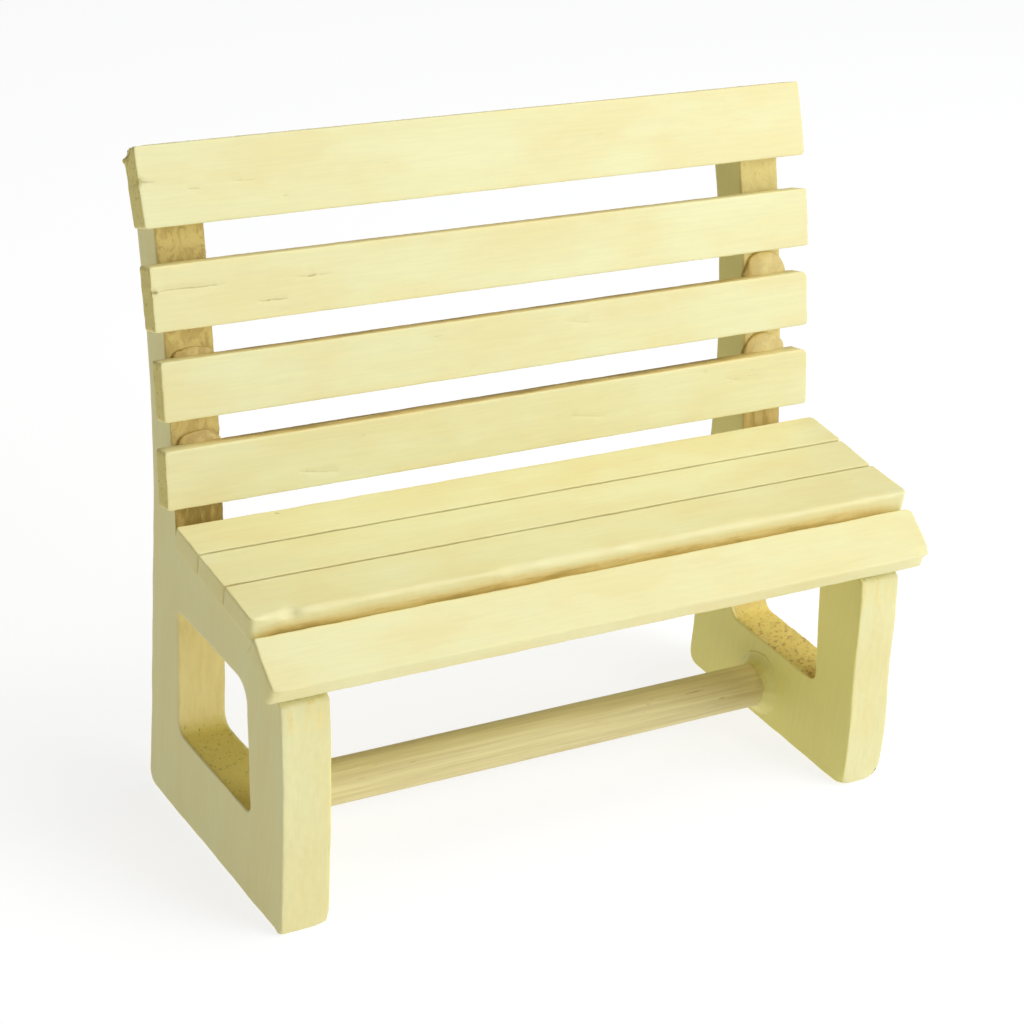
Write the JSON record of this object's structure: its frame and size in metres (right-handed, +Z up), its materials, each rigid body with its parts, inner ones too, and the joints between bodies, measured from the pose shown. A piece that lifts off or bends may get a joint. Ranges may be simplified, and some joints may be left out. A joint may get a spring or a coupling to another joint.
{
  "type": "miniature slatted bench",
  "caption": "Miniature wooden garden bench with a slatted seat and a reclined slatted back on window-cut side frames, tied by a round stretcher.",
  "frame": {"origin": "centre of the overall footprint, on the surface that the feet stand on", "axes": "+X along the bench's length, +Y towards its back, +Z up; the bench faces -Y"},
  "size_m": [0.101, 0.0506, 0.0884],
  "materials": {
    "pale_wood": "satin washed cream yellow",
    "dowel_wood": "bare fine-grained"
  },
  "bodies": {
    "root": {"side_frame_left": "pale_wood", "side_frame_right": "pale_wood", "back_slat_1": "pale_wood", "back_slat_2": "pale_wood", "back_slat_3": "pale_wood", "back_slat_4": "pale_wood", "seat_slat_1": "pale_wood", "seat_slat_2": "pale_wood", "seat_slat_3": "pale_wood", "front_board": "pale_wood", "stretcher_dowel": "dowel_wood"}
  },
  "joints": []
}
